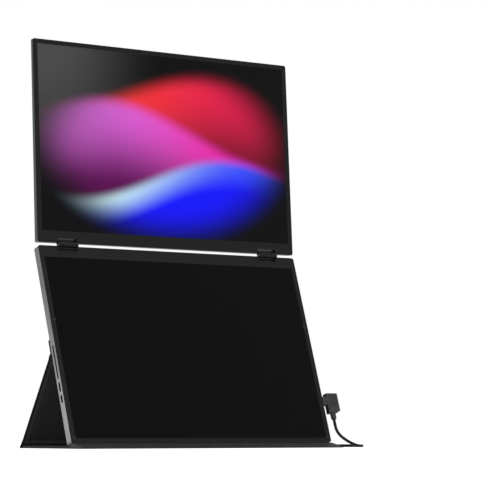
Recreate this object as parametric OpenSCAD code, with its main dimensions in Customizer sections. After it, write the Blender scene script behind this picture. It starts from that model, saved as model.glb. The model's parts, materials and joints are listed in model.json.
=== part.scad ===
// Two-panel portable monitor that stands behind a laptop: an upper display on two
// barrel hinges above a thicker lower display, on a folding leather-covered stand.
// Millimetres, +Z up, the screens face -Y. Origin: middle of the footprint, on the table.

/* [Panels] */
// Width of both panels
panel_w = 356.6; // [330:0.1:400]
// Height of both panels, from the hinge edge to the far edge
panel_h = 234.6; // [215:0.1:260]
// Thickness of the lower panel
lower_t = 11; // [9:0.1:13]
// Thickness of the upper panel at its hinge edge
upper_t_hinge = 7.6; // [6.5:0.1:10]
// Thickness of the upper panel at its top edge
upper_t_top = 5.3; // [5:0.1:8]
// Radius of the panel corners, seen from the front
corner_r = 2.6; // [2.5:0.1:8]
// Radius of the lower panel's back edges
lower_edge_r = 1.8; // [1:0.1:3]
// Radius of the upper panel's back edges
upper_edge_r = 1.6; // [1:0.1:2]
// Wall of the aluminium shells
wall = 1.2; // [0.9:0.1:1.6]
// Back plate of the upper shell
upper_back = 0.9; // [0.7:0.1:1.2]

/* [Screens] */
// Width of the lit area
active_w = 344.6; // [300:0.1:388]
// Height of the lit area
active_h = 215.4; // [190:0.1:240]
// Dark strip between the hinge edge and the lit area
chin = 13.8; // [12:0.1:20]
// Visible width of the plastic rim around the glass
rim_w = 1.9; // [1.6:0.1:3]
// Thickness of the cover glass
glass_t = 0.8; // [0.5:0.1:1.1]
// Thickness of the display cell
cell_t = 1.0; // [0.8:0.1:1.2]
// Thickness of the backlight
backlight_t = 1.5; // [1.2:0.1:1.6]

/* [Pose] */
// Backward lean of the lower panel, degrees
lower_lean = 18.9; // [14:0.1:22]
// Angle between the screens, 180 is flat
open_angle = 164.7; // [150:0.1:178]

/* [Hinges] */
// Distance of the hinge axis from each panel's edge
axis_gap = 1.7; // [1.5:0.1:3]
// Distance of the hinge axis in front of both screens
axis_lift = 0.5; // [0.4:0.1:1]
// Middle of each hinge, from the centre line
hinge_x = 139.5; // [100:0.5:150]
// Width of the notches for the hinges
notch_w = 26; // [22:0.5:32]
// Depth of the notches
notch_d = 5.8; // [5:0.1:8]
// Radius of the hinge barrel
barrel_r = 3.2; // [2.6:0.1:3.6]
// Radius of the hinge pin
pin_r = 1.3; // [1:0.1:1.5]
// Length of the middle knuckle
knuckle_l = 9.6; // [7:0.1:12]
// Radial running clearance of the middle knuckle on its pin
pin_clear = 0.05; // [0.02:0.01:0.1]

/* [Ports and keys] */
// Depth of the ports and keys behind the lower screen's face
port_n = 5; // [4.8:0.1:5.2]
// Height of the two USB-C ports above the panel's bottom edge
usb_u = 52.5; // [45:0.5:56]
// Height of the mini HDMI port above the panel's bottom edge
hdmi_u = 66.5; // [66:0.5:69]
// Height of the middle of the key strip
keys_u = 96; // [94:0.5:104]
// Length of one key
key_l = 12.7; // [10:0.1:14]
// Width of the keys
key_w = 1.8; // [1.5:0.1:2.4]
// Travel of a key
key_travel = 0.4; // [0.3:0.05:0.5]
// Height of the lowest speaker hole
speaker_u = 186.2; // [170:0.1:196]
// Spacing of the speaker holes
speaker_pitch = 3.68; // [3:0.01:4.5]
// Number of speaker holes on each side
speaker_holes = 7; // [3:1:8]
// Radius of a speaker hole
speaker_r = 0.7; // [0.4:0.05:0.9]

/* [Stand] */
// Width of the stand
stand_w = 356; // [320:0.1:390]
// Thickness of the folding leg
leg_t = 3; // [2.4:0.1:3.6]
// Thickness of the base plate
base_t = 3; // [2.4:0.1:3.6]
// Thickness of the leather skins
skin_t = 0.6; // [0.4:0.05:0.8]
// Height of the leg's crease up the lower panel
crease_u = 108; // [95:0.5:125]
// Backward lean of the leg, degrees from upright
leg_lean = 32.2; // [26:0.1:36]
// Length of the strip glued to the panel above the crease
strip_l = 15; // [9:0.5:20]
// Thickness of the glued strip
strip_t = 2.5; // [2:0.1:3]
// Reach of the lip in front of the lower panel
lip_reach = 23.5; // [15:0.5:35]
// Thickness of the lip at its front edge
lip_front_t = 1; // [0.8:0.1:2]

/* [Lead] */
// Diameter of the USB lead
lead_d = 3.5; // [3:0.1:4.5]

/* [Hidden] */
$fn = 48;

eps = 0.02;        // reach of a cut past the face that it opens
seat_gap = 0.3;    // clearance between parts that rest on or pass each other
fit_gap = 0.1;     // clearance of parts that drop into a recess

// Panel stack, measured back from the screen's face
frame_flange = 0.5;
glass_n = 0.1;
cell_n = glass_n + glass_t;
light_n = cell_n + cell_t;
stack_n = light_n + backlight_t;
ledge_w = 2.7;
ledge_t = 1.0;
lower_floor_n = lower_t - wall;

// Rest pose: the lower panel stands on the base plate, the leg props it from behind
upper_lean = lower_lean - (180 - open_angle);
lower_z = base_t + seat_gap + lower_edge_r + (lower_t - lower_edge_r) * sin(lower_lean)
        - lower_edge_r * cos(lower_lean);
crease_n = lower_t + leg_t / 2 + 0.5;
crease_dy = crease_n * cos(lower_lean) + crease_u * sin(lower_lean);
crease_z = lower_z - crease_n * sin(lower_lean) + crease_u * cos(lower_lean);
foot_z = 0.1;      // height of the foot crease's axis
foot_w = leg_t / 2 + 0.5;  // its distance from the leg's middle plane
leg_l = (crease_z + foot_w * sin(leg_lean) - foot_z) / cos(leg_lean);
foot_dy = crease_dy + leg_l * sin(leg_lean) + foot_w * cos(leg_lean);
half_depth = (foot_dy + lip_reach) / 2;
lower_y = lip_reach - half_depth;
foot_y = half_depth;
crease_y = lower_y + crease_dy;

// Hinge
axis_u = panel_h + axis_gap;
axis_y = lower_y - axis_lift * cos(lower_lean) + axis_u * sin(lower_lean);
axis_z = lower_z + axis_lift * sin(lower_lean) + axis_u * cos(lower_lean);
leaf_n = 3.6;      // front face of the leaf plates inside the shells
leaf_t = 1.6;
leaf_end = chin - 1;
washer_t = 0.35;
barrel_l = notch_w - 0.6;
outer_knuckle_l = (barrel_l - knuckle_l) / 2 - washer_t;
screw_v = 9.6;     // hinge screws, from the panel's edge
screw_x = 8;

// Keys, side by side in one slot of the left wall
side_x = panel_w / 2;
key_gap = 0.15;
strip_len = 3 * key_l + 2 * key_gap;
flange_x = 0.8;
switch_x = 1.2;

// Stand
crease_r = 1.1;
leg_start = 1.5;
crease_gap = 6.2;  // bare leather between the foot's axis and the boards
seam_y = lower_y + 5.6;

// Lead: a right-angle plug, a free stretch along round points, and a coil at the right
usb_l = 6.5;
plug_x = side_x + 0.3;
collar_l = 7.5;
plug_w = 17;
plug_h = 25;
plug_t = 7.5;
plug_top = usb_u + 9.5;
plug_round = 1.4;
plug_ribs = 4;
rib_pitch = 3.2;
rib_gap = 0.9;
rib_h = 0.35;
relief_x = plug_x + collar_l + 7;
relief_l = 7.5;
relief_r = 3.3;
relief_u = plug_top - plug_h;
lead_points = [
    [193.1, -31.5, 32.7], [193.1, -33.3, 27.1], [193.4, -35.4, 21.5], [194.8, -38.1, 16.5], [197.6, -41.7, 12],
    [201.6, -45.6, 8], [206.6, -48.8, 4.8], [212.4, -50.4, 2.6], [218.4, -49.6, 1.8], [224.2, -45.8, 1.8],
    [227.6, -39.8, 1.8], [228.2, -33, 1.8], [226.2, -25, 1.8], [221.6, -16, 1.8], [215.4, -7, 1.8],
    [208, 2, 1.8], [200.6, 12, 1.8], [193.6, 22, 1.8], [188.4, 33, 1.8], [185.7, 44, 1.9],
    [184.7, 54, 2.2], [184.5, 63, 2.5], [184.5, 70, 2.55]
];
coil_c = [209, 70];
coil_r = 21;
coil_turns_w = 3;
coil_layers = 2;
tie_t = 0.8;
tie_angle = 32;
coil_top = tie_t + coil_layers * lead_d;
coil_out = coil_r + (coil_turns_w - 1) / 2 * lead_d;
far_w = 10.4;
far_t = 6;
far_l = 19;
far_relief_l = 9;
end_bend_r = 12;
far_y = coil_c[1] - end_bend_r - 0.5;
far_relief_end = coil_c[0] + coil_out - end_bend_r;
far_x = far_relief_end - far_relief_l;
lead_end_points = [for (a = [0:-15:-90]) [
    far_relief_end + end_bend_r * cos(a), far_y + end_bend_r * (1 + sin(a)),
    coil_top - lead_d / 2 - a / 90 * (far_t + lead_d) / 2
]];

// ---------- shared forms ----------

// Rectangle with round corners, centred
module round_rect(w, h, r) {
    square([w - 2 * r, h], center = true);
    square([w, h - 2 * r], center = true);
    for (sx = [-1, 1], sy = [-1, 1]) translate([sx * (w / 2 - r), sy * (h / 2 - r)]) circle(r);
}

// Slot-shaped outline with half-round ends, along the first axis
module stadium(l, w) {
    square([l - w, w], center = true);
    for (s = [-1, 1]) translate([s * (l - w) / 2, 0]) circle(d = w);
}

// Extrusions along the panel's own axes: x across, n back from the face, v or u along the height
module along_n(n0, n1) translate([0, n1, 0]) rotate([90, 0, 0]) linear_extrude(n1 - n0) children();
module along_x(x0, x1) translate([x0, 0, 0]) rotate([90, 0, 90]) linear_extrude(x1 - x0) children();

module box(x0, x1, n0, n1, v0, v1) translate([x0, n0, v0]) cube([x1 - x0, n1 - n0, v1 - v0]);

// Puts what is drawn from the hinge edge (v) into the lower panel, whose hinge edge is on top
module from_top() translate([0, 0, panel_h]) mirror([0, 0, 1]) children();

module in_lower() translate([0, lower_y, lower_z]) rotate([-lower_lean, 0, 0]) children();
module in_upper() translate([0, axis_y, axis_z]) rotate([-upper_lean, 0, 0])
    translate([0, axis_lift, axis_gap]) children();

// Front outline of a panel, v = 0 at the hinge edge, drawn in by inset, with its hinge notches
module face_outline(inset) difference() {
    translate([0, panel_h / 2])
        round_rect(panel_w - 2 * inset, panel_h - 2 * inset, max(corner_r - inset, 0.5));
    for (s = [-1, 1]) translate([s * hinge_x - notch_w / 2 - inset, -1])
        square([notch_w + 2 * inset, notch_d + 1 + inset]);
}

// Side profile: n back, v up, t0 thick at v = 0 and t1 at the far edge, back corners rounded
module side_profile(t0, t1, r, inset) {
    far = panel_h - inset;
    polygon([[-1, inset], [t0 - r, inset], [t0 - r, far], [-1, far]]);
    polygon([[0, inset + r], [t0, inset + r], [t1, far - r], [0, far - r]]);
    polygon([[0, inset], [t0 - r, inset], [t1 - r, far], [0, far]]);
    translate([t0 - r, inset + r]) circle(r);
    translate([t1 - r, far - r]) circle(r);
}

// Plan profile: x across, n back, back corners rounded
module plan_profile(t, r, inset) {
    half = panel_w / 2 - inset;
    translate([-half, -4]) square([2 * half, t - r + 4]);
    translate([-half + r, -4]) square([2 * (half - r), t + 4]);
    for (s = [-1, 1]) translate([s * (half - r), t - r]) circle(r);
}

// Body of a panel: the outline, the side profile and the plan profile cut out of one block
module panel_form(n0, t0, t1, r, inset) intersection() {
    along_n(n0, t0 + 1) face_outline(inset);
    along_x(-panel_w, panel_w) side_profile(t0, t1, r, inset);
    rotate([atan((t0 - t1) / panel_h), 0, 0]) translate([0, 0, -20]) linear_extrude(panel_h + 40)
        plan_profile(t0, r, inset);
}

// Wall, back plate and round edges of a shell, open to the front
module shell(t0, t1, r, back) difference() {
    panel_form(frame_flange, t0, t1, r, 0);
    panel_form(-1, t0 - back, t1 - back, max(r - wall, 0.4), wall);
}

// Plastic frame: a flange on the shell's rim, a skirt inside the wall and a ledge for the glass
module front_frame() {
    along_n(0, frame_flange) difference() { face_outline(0); face_outline(rim_w); }
    along_n(frame_flange, cell_n) difference() { face_outline(wall + fit_gap); face_outline(rim_w); }
    along_n(cell_n, cell_n + ledge_t) difference() {
        face_outline(wall + fit_gap);
        face_outline(rim_w + ledge_w);
    }
}

module cover_glass() along_n(glass_n, cell_n) face_outline(rim_w + 0.15);

module display_layer(n0, n1, margin) along_n(n0, n1)
    translate([0, chin + active_h / 2]) square([active_w + 2 * margin, active_h + 2 * margin], center = true);

// Barrel segment about the hinge axis, from x0 to x1
module barrel(x0, x1, r) translate([x0, -axis_lift, -axis_gap]) rotate([0, 90, 0])
    cylinder(r = r, h = x1 - x0);

// Curved strap from the barrel to a flat plate inside the shell
module strap(x0, x1, v_end) along_x(x0, x1) {
    polygon([
        [-axis_lift + barrel_r * 0.35, -axis_gap], [-axis_lift + barrel_r * 0.94, -axis_gap],
        [leaf_n + leaf_t, 1.6], [leaf_n + leaf_t, v_end], [leaf_n, v_end], [leaf_n, 2.4]
    ]);
}

module hinge_screw(s, t) translate([s, leaf_n + t, screw_v]) rotate([90, 0, 0]) children();

// Leaf with the two outer knuckles (outer = true) or the middle one
module hinge_leaf(outer) {
    half = barrel_l / 2;
    mid = knuckle_l / 2;
    difference() {
        union() {
            strap(outer ? -half : -mid, outer ? half : mid, notch_d);
            strap(-half, half, leaf_end);
            if (outer) {
                barrel(-half, -half + outer_knuckle_l, barrel_r);
                barrel(half - outer_knuckle_l, half, barrel_r);
            } else barrel(-mid, mid, barrel_r);
        }
        if (outer) barrel(-mid - washer_t, mid + washer_t, barrel_r + seat_gap);
        else for (s = [-1, 1]) translate([s * (half + mid) / 2, 0, 0])
            barrel(-(half - mid) / 2 - eps, (half - mid) / 2 + eps, barrel_r + seat_gap);
        barrel(-half - 1, half + 1, outer ? pin_r : pin_r + pin_clear);
        for (s = [-1, 1]) hinge_screw(s * screw_x, leaf_t + 1) cylinder(r = 1, h = leaf_t + 2);
    }
}

module both_hinges() for (s = [-1, 1]) translate([s * hinge_x, 0, 0]) children();

// Bosses that carry a hinge leaf, and the slot that the leaf enters by
module hinge_bosses(floor_n) both_hinges() for (s = [-1, 1]) translate([s * screw_x, floor_n + 0.3, screw_v])
    rotate([90, 0, 0]) difference() {
        cylinder(r = 2.2, h = floor_n + 0.3 - leaf_n - leaf_t);
        translate([0, 0, 0.3]) cylinder(r = 0.8, h = 10);
    }
module hinge_slots() both_hinges() box(
    -barrel_l / 2 - fit_gap, barrel_l / 2 + fit_gap,
    leaf_n - fit_gap, leaf_n + leaf_t + fit_gap, 1, notch_d + wall + 1
);
module leaf_screws(floor_n) both_hinges() for (s = [-1, 1]) {
    hinge_screw(s * screw_x, 0) cylinder(r = 1.8, h = 0.8);
    hinge_screw(s * screw_x, floor_n - leaf_n - 0.4) cylinder(r = 0.8, h = floor_n - leaf_n - 0.4);
}

// ---------- lower panel ----------

board_n = 6.7;     // front face of the circuit boards
board_t = 1.1;
socket_l = 7.3;
board_margin = socket_l + 3;
main_board_x = [-side_x + board_margin, -side_x + board_margin + 106];
main_board_u = [usb_u - 18.5, usb_u + 39.5];
port_board_x = [side_x - board_margin - 22, side_x - board_margin + 5];
port_board_u = [usb_u - 14.5, usb_u + 13.5];
main_screws = [for (x = [8, 98], u = [6, 52]) [main_board_x[0] + x, main_board_u[0] + u]];
port_screws = [for (u = [4, 24]) [port_board_x[0] + 4, port_board_u[0] + u]];

// Bosses behind the boards; the screws bite into them
module board_bosses(points) for (p = points) translate([p[0], lower_floor_n + 0.3, p[1]]) rotate([90, 0, 0])
    cylinder(r = 2.5, h = lower_floor_n + 0.3 - board_n - board_t);

module side_slot(s, u, l, w) translate([s * side_x, port_n, u]) rotate([90, 0, 90])
    linear_extrude(2 * wall + 2, center = true) rotate(90) stadium(l, w);

module speaker_holes_at(s) for (i = [0:speaker_holes - 1])
    translate([s * side_x, port_n + (i % 2 == 0 ? 0.9 : 1.7), speaker_u + i * speaker_pitch])
        rotate([0, 90, 0]) cylinder(r = speaker_r, h = 2 * wall + 2, center = true, $fn = 24);

module lower_rear_shell() color("#8b8d8e") in_lower() {
    difference() {
        from_top() shell(lower_t, lower_t, lower_edge_r, wall);
        from_top() hinge_slots();
        for (s = [-1, 1]) {
            speaker_holes_at(s);
            side_slot(s, usb_u, 9.4, 3.4);
        }
        side_slot(-1, hdmi_u, 11.2, 3.2);
        side_slot(-1, keys_u, strip_len + 0.9, key_w + 0.9);
    }
    from_top() hinge_bosses(lower_floor_n);
    board_bosses(main_screws);
    board_bosses(port_screws);
}

module lower_front_frame() color("#1b1b1d") in_lower() from_top() front_frame();
module lower_cover_glass() color("#0c0c0e") in_lower() from_top() cover_glass();
module lower_display_cell() color("#23252a") in_lower() from_top() display_layer(cell_n, light_n, 0.6);
module lower_backlight() color("#b9bcc0") in_lower() from_top() display_layer(light_n, stack_n, 0.4);

module board(x, u) box(x[0], x[1], board_n, board_n + board_t, u[0], u[1]);
module screw_holes(points) for (p = points) translate([p[0], board_n - 1, p[1]]) rotate([-90, 0, 0])
    cylinder(r = 1.3, h = board_t + 2);

module main_board() color("#1d5c38") in_lower() difference() {
    board(main_board_x, main_board_u);
    screw_holes(main_screws);
}
module port_board() color("#1d5c38") in_lower() difference() {
    board(port_board_x, port_board_u);
    screw_holes(port_screws);
}
module main_board_chips() color("#202225") in_lower() {
    translate([main_board_x[0], 0, main_board_u[0]]) {
        for (chip = [[48, 26, 16], [73, 38, 10], [76, 16, 8], [28, 44, 7]])
            box(chip[0], chip[0] + chip[2], board_n - 1.2, board_n, chip[1], chip[1] + chip[2]);
        for (i = [0:3]) translate([22 + 9 * i, board_n, 8]) rotate([90, 0, 0]) cylinder(r = 3, h = 2.4);
    }
}
module main_board_screws() color("#c8c8c8") in_lower() for (p = concat(main_screws, port_screws))
    translate([p[0], 0, p[1]]) rotate([-90, 0, 0]) {
        translate([0, 0, board_n - 0.7]) cylinder(r = 2.2, h = 0.7);
        translate([0, 0, board_n - 0.1]) cylinder(r = 1.2, h = board_t + 0.1);
    }
module port_ribbon() color("#c07a2c") in_lower() {
    box(main_board_x[1] - 4, port_board_x[0] + 4, board_n - 0.3, board_n, usb_u - 2.5, usb_u + 5.5);
}

// Metal can of a socket with its tongue; s is the side, the mouth is at the wall
module socket(s, u, l, w, tongue_l) translate([s * (side_x - 0.2), port_n, u]) rotate([0, s * -90, 0]) {
    difference() {
        linear_extrude(socket_l) stadium(l + 0.5, w + 0.5);
        translate([0, 0, -eps]) linear_extrude(socket_l - 0.4) stadium(l, w);
    }
    translate([0, 0, 1]) linear_extrude(socket_l - 1.3) square([tongue_l, 0.7], center = true);
}
module left_usb_socket() color("#9a9da1") in_lower() socket(-1, usb_u, 8.5, 2.6, 6.6);
module right_usb_socket() color("#9a9da1") in_lower() socket(1, usb_u, 8.5, 2.6, 6.6);
module mini_hdmi_socket() color("#9a9da1") in_lower() socket(-1, hdmi_u, 10.45, 2.5, 8);

speaker_mid_u = speaker_u + (speaker_holes - 1) * speaker_pitch / 2;
speaker_half = (speaker_holes - 1) * speaker_pitch / 2 + 4;
corner_n = lower_floor_n - lower_edge_r + wall;  // where the wall starts to curve into the back plate
speaker_l = 10;
mesh_t = 0.2;
module on_right() mirror([1, 0, 0]) children();

// Speaker box behind the left wall's holes, with a recess for its cone
module speaker() {
    x0 = -side_x + wall + mesh_t + 0.05;
    u0 = speaker_mid_u - speaker_half - 1;
    u1 = speaker_mid_u + speaker_half + 1;
    difference() {
        union() {
            box(x0, x0 + 3, stack_n + 0.2, corner_n, u0, u1);
            box(x0 + 2, x0 + speaker_l, stack_n + 0.2, lower_floor_n, u0, u1);
        }
        translate([x0 + 1.4, port_n + 0.8, speaker_mid_u]) rotate([90, 0, -90])
            linear_extrude(3) rotate(90) stadium(2 * speaker_half - 2, 2.6);
    }
}
module speaker_mesh() box(-side_x + wall + 0.02, -side_x + wall + 0.02 + mesh_t, stack_n + 0.3, corner_n,
    speaker_mid_u - speaker_half, speaker_mid_u + speaker_half);
module left_speaker() color("#2b2b2e") in_lower() speaker();
module right_speaker() color("#2b2b2e") in_lower() on_right() speaker();
module speaker_meshes() color("#3c3c40") in_lower() {
    speaker_mesh();
    on_right() speaker_mesh();
}

// Key strip: bezel in the slot, three keys, switches on a board of their own
bezel_back = -side_x + wall + 0.05 + flange_x;
key_back = bezel_back + 0.05 + 0.9;
module at_keys(x0, x1) translate([x0, port_n, keys_u]) rotate([90, 0, 90]) linear_extrude(x1 - x0)
    rotate(90) children();
module key_bezel() color("#131314") in_lower() difference() {
    union() {
        at_keys(-side_x + 0.05, bezel_back) stadium(strip_len + 0.8, key_w + 0.8);
        at_keys(-side_x + wall + 0.02, bezel_back) square([strip_len + 4, key_w + 2.4], center = true);
    }
    at_keys(-side_x - 1, bezel_back + 1) square([strip_len + 0.2, key_w + 0.2], center = true);
}
module key_at(i) {
    centre = keys_u + i * (key_l + key_gap);
    box(-side_x + 0.1, bezel_back + 0.1, port_n - key_w / 2, port_n + key_w / 2,
        centre - key_l / 2, centre + key_l / 2);
    box(bezel_back + 0.05, key_back, port_n - key_w / 2 - 0.6, port_n + key_w / 2 + 0.6,
        centre - key_l / 2 + 0.1, centre + key_l / 2 - 0.1);
}
module upper_key() color("#2a2a2c") in_lower() key_at(1);
module middle_key() color("#2a2a2c") in_lower() key_at(0);
module lower_key() color("#2a2a2c") in_lower() key_at(-1);
key_board_x = key_back + key_travel + 0.05 + switch_x;
module key_switches() color("#b8b8ba") in_lower() for (i = [-1, 0, 1])
    translate([key_board_x, port_n, keys_u + i * (key_l + key_gap)]) rotate([0, -90, 0]) {
        translate([0, 0, switch_x / 4]) cube([4, 3.2, switch_x / 2], center = true);
        cylinder(r = 1, h = switch_x);
    }
module key_board() color("#1d5c38") in_lower() box(
    key_board_x, key_board_x + 0.8, stack_n + 0.1, lower_floor_n,
    keys_u - strip_len / 2 - 3, keys_u + strip_len / 2 + 3
);

module lower_hinge_leaves() color("#9b9da0") in_lower() from_top() both_hinges() hinge_leaf(true);
module hinge_pins() color("#c4c6c8") in_lower() from_top() both_hinges()
    barrel(-barrel_l / 2, barrel_l / 2, pin_r);
module hinge_washers() color("#6e7074") in_lower() from_top() both_hinges() for (s = [-1, 1]) difference() {
    translate([s * (knuckle_l + washer_t) / 2, 0, 0])
        barrel(-washer_t / 2 + 0.02, washer_t / 2 - 0.02, barrel_r - 0.3);
    barrel(-notch_w, notch_w, pin_r);
}
module lower_hinge_screws() color("#c8c8c8") in_lower() from_top() leaf_screws(lower_floor_n);

bumper_r = 2.4;
module closing_bumpers() color("#17171a") in_lower() for (s = [-1, 1], v = [90, panel_h - 5.2])
    translate([s * (side_x - rim_w - bumper_r - 0.2), glass_n, panel_h - v]) rotate([90, 0, 0])
        cylinder(r1 = bumper_r, r2 = bumper_r - 0.3, h = 0.6);

// ---------- upper panel ----------

upper_floor_n = upper_t_hinge - upper_back;
driver_n = 2.2;
driver_t = 0.8;
driver_half = hinge_x - notch_w / 2 - 10;
module upper_rear_shell() color("#6f7173") in_upper() {
    difference() {
        shell(upper_t_hinge, upper_t_top, upper_edge_r, upper_back);
        hinge_slots();
    }
    hinge_bosses(upper_floor_n - 0.2);
    for (s = [-1, 0, 1]) translate([s * (driver_half - 18), upper_floor_n + 0.2, 8.5]) rotate([90, 0, 0])
        cylinder(r = 1.8, h = upper_floor_n + 0.2 - driver_n - driver_t);
}
module upper_front_frame() color("#1b1b1d") in_upper() front_frame();
module upper_cover_glass() color("#101012") in_upper() cover_glass();
module upper_display_cell() color("#2a2c6a") in_upper() display_layer(cell_n, light_n, 0.6);
module upper_backlight() color("#b9bcc0") in_upper() display_layer(light_n, stack_n, 0.4);
module upper_driver_board() color("#1d5c38") in_upper()
    box(-driver_half, driver_half, driver_n, driver_n + driver_t, 5.2, chin - 1);
module upper_hinge_leaves() color("#9b9da0") in_upper() both_hinges() hinge_leaf(false);
module upper_hinge_screws() color("#c8c8c8") in_upper() leaf_screws(upper_floor_n - 0.2);

// ---------- stand ----------

// Frame at the top crease: s runs down the leg, w points outwards
module in_leg() translate([0, crease_y, crease_z]) rotate([leg_lean, 0, 0]) mirror([0, 0, 1]) children();
module leg_layer(w0, w1, s0, s1) box(-stand_w / 2, stand_w / 2, w0, w1, s0, s1);
leg_end = leg_l - crease_gap;

module stand_strip() color("#1c1c1e") in_lower()
    box(-stand_w / 2, stand_w / 2, lower_t, lower_t + strip_t, crease_u + 1.4, crease_u + 1.4 + strip_l);
module strip_magnets() color("#8f9296") in_lower() for (s = [-1, 1], d = [28, 88])
    translate([s * (stand_w / 2 - d), 0, 0])
        box(-12, 12, lower_floor_n - 1.5, lower_floor_n, crease_u + 3, crease_u + 11);
module top_crease() color("#141416") in_lower() {
    translate([-stand_w / 2, crease_n, crease_u]) rotate([0, 90, 0]) cylinder(r = crease_r, h = stand_w);
    box(-stand_w / 2, stand_w / 2, crease_n - 0.4, crease_n + 0.4, crease_u, crease_u + 1.4);
}
module leg_outer_skin() color("#1c1c1e") in_leg()
    leg_layer(leg_t / 2 - skin_t, leg_t / 2, leg_start, leg_end);
module leg_board() color("#4a4038") in_leg()
    leg_layer(skin_t - leg_t / 2, leg_t / 2 - skin_t, leg_start, leg_end);
module leg_lining() color("#1a1a1c") in_leg() leg_layer(-leg_t / 2, skin_t - leg_t / 2, leg_start, leg_end);

// Bare leather round the foot: it joins the leg's outer skin and ends short of the base
function leg_point(s, w) = [
    crease_y + s * sin(leg_lean) + w * cos(leg_lean), crease_z - s * cos(leg_lean) + w * sin(leg_lean)
];
module foot_crease() color("#141416") along_x(-stand_w / 2, stand_w / 2) polygon([
    leg_point(leg_end, leg_t / 2), [foot_y, foot_z], [foot_y - 0.1, 0.02], [foot_y - crease_gap + 0.5, 0.02],
    [foot_y - crease_gap + 0.5, 1], leg_point(leg_end, leg_t / 2 - skin_t)
]);

module base_layer(z0, z1, y0) translate([-stand_w / 2, y0, z0])
    cube([stand_w, foot_y - crease_gap - y0, z1 - z0]);
module base_sole() color("#18181a") base_layer(0, skin_t, -half_depth);
module base_board() color("#4a4038") base_layer(skin_t, base_t - skin_t, seam_y);
module base_lining() color("#1c1c1e") base_layer(base_t - skin_t, base_t, seam_y);

// Wedge under the panel's bottom edge; it slopes down to the lip's front edge
module front_lip() color("#1c1c1e") along_x(-stand_w / 2, stand_w / 2) polygon([
    [-half_depth, skin_t], [seam_y, skin_t], [seam_y, base_t], [lower_y + 0.6, lower_z - 0.52],
    [lower_y - 1.5, lower_z - 0.52], [-half_depth + 0.6, lip_front_t + 0.3], [-half_depth, lip_front_t]
]);

// ---------- lead ----------

module plug_slot(x0, x1, l, w) translate([x0, port_n, usb_u]) rotate([90, 0, 90]) linear_extrude(x1 - x0)
    rotate(90) stadium(l, w);
module plug_tip() color("#b4b6b9") in_lower() difference() {
    plug_slot(plug_x - usb_l, plug_x, 8.3, 2.4);
    plug_slot(plug_x - usb_l - 1, plug_x - 0.6, 7, 1.1);
}

// Front outline of the plug's body: round top corners, the outer bottom corner cut off
module plug_front() {
    r = plug_round;
    polygon([[0, 0], [plug_w - 6, 0], [plug_w, 3], [plug_w, plug_h - r], [0, plug_h - r]]);
    translate([r, plug_h / 2]) square([plug_w - 2 * r, plug_h / 2]);
    for (x = [r, plug_w - r]) translate([x, plug_h - r]) circle(r);
}

// Overmould of the right-angle plug, cut from its three outlines, with grip ribs on both faces
module plug_body() color("#3f4144") in_lower() {
    plug_slot(plug_x, plug_x + collar_l + 1, 12, 6.4);
    translate([plug_x + collar_l, port_n, relief_u]) difference() {
        intersection() {
            along_n(-plug_t / 2, plug_t / 2) plug_front();
            translate([plug_w / 2, 0, 0]) linear_extrude(plug_h) round_rect(plug_w, plug_t, plug_round);
            translate([0, 0, plug_h / 2]) along_x(0, plug_w) round_rect(plug_t, plug_h, plug_round);
        }
        for (i = [0:plug_ribs - 1], s = [-1, 1])
            translate([plug_w / 2 + (i - (plug_ribs - 1) / 2) * rib_pitch, s * plug_t / 2, plug_h - 9.5])
                cube([rib_gap, 2 * rib_h, 15], center = true);
    }
}
module plug_relief() color("#303234") in_lower() translate([relief_x, port_n, relief_u - relief_l]) {
    cylinder(r1 = lead_d / 2 + 0.4, r2 = relief_r, h = 1.4);
    translate([0, 0, 1.4]) cylinder(r = relief_r, h = relief_l - 1.4);
}

// Tube swept along points: rings of n sides, square to the path
function unit(v) = v / norm(v);
function tangent(p, i) = unit(p[min(i + 1, len(p) - 1)] - p[max(i - 1, 0)]);
function ring_points(p, i, r, n) = let (
        t = tangent(p, i),
        side = unit(cross(t, abs(t[2]) > 0.9 ? [1, 0, 0] : [0, 0, 1])),
        up = cross(side, t)
    ) [for (k = [0:n - 1]) p[i] + r * (cos(360 * k / n) * side + sin(360 * k / n) * up)];
module swept_tube(p, r, n) {
    rings = len(p);
    polyhedron(
        points = [for (i = [0:rings - 1]) each ring_points(p, i, r, n)],
        faces = concat(
            [[for (k = [0:n - 1]) k]],
            [for (i = [0:rings - 2], k = [0:n - 1]) let (j = (k + 1) % n)
                [i * n + k, (i + 1) * n + k, (i + 1) * n + j, i * n + j]],
            [[for (k = [n - 1:-1:0]) (rings - 1) * n + k]]
        )
    );
}
module lead() color("#17181a") {
    swept_tube(lead_points, lead_d / 2, 8);
    swept_tube(lead_end_points, lead_d / 2, 8);
}

module lead_coil() color("#17181a") translate([coil_c[0], coil_c[1], 0]) rotate_extrude() coil_section(0);
// Section of the coiled turns, drawn out by g
module coil_section(g) translate([coil_r, tie_t + coil_layers * lead_d / 2])
    round_rect(coil_turns_w * lead_d + 2 * g, coil_layers * lead_d + 2 * g, lead_d / 2 - 0.1 + g);
module coil_tie() color("#0f0f10") translate([coil_c[0], coil_c[1], 0]) rotate(90 - tie_angle / 2)
    rotate_extrude(angle = tie_angle) difference() {
        coil_section(tie_t);
        coil_section(0.04);
    }

module across(x0, x1) translate([x0, far_y, coil_top + far_t / 2]) rotate([90, 0, 90])
    linear_extrude(x1 - x0) children();
module far_relief() color("#303234") translate([far_x, far_y, coil_top + far_t / 2]) rotate([0, 90, 0])
    cylinder(r1 = 2.6, r2 = lead_d / 2 + 0.4, h = far_relief_l);
module far_plug_body() color("#3f4144") across(far_x - far_l, far_x) round_rect(far_w, far_t, 2.4);
module far_plug_tip() color("#b4b6b9") across(far_x - far_l - usb_l, far_x - far_l) difference() {
    stadium(8.3, 2.4);
    stadium(7, 1.1);
}

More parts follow.
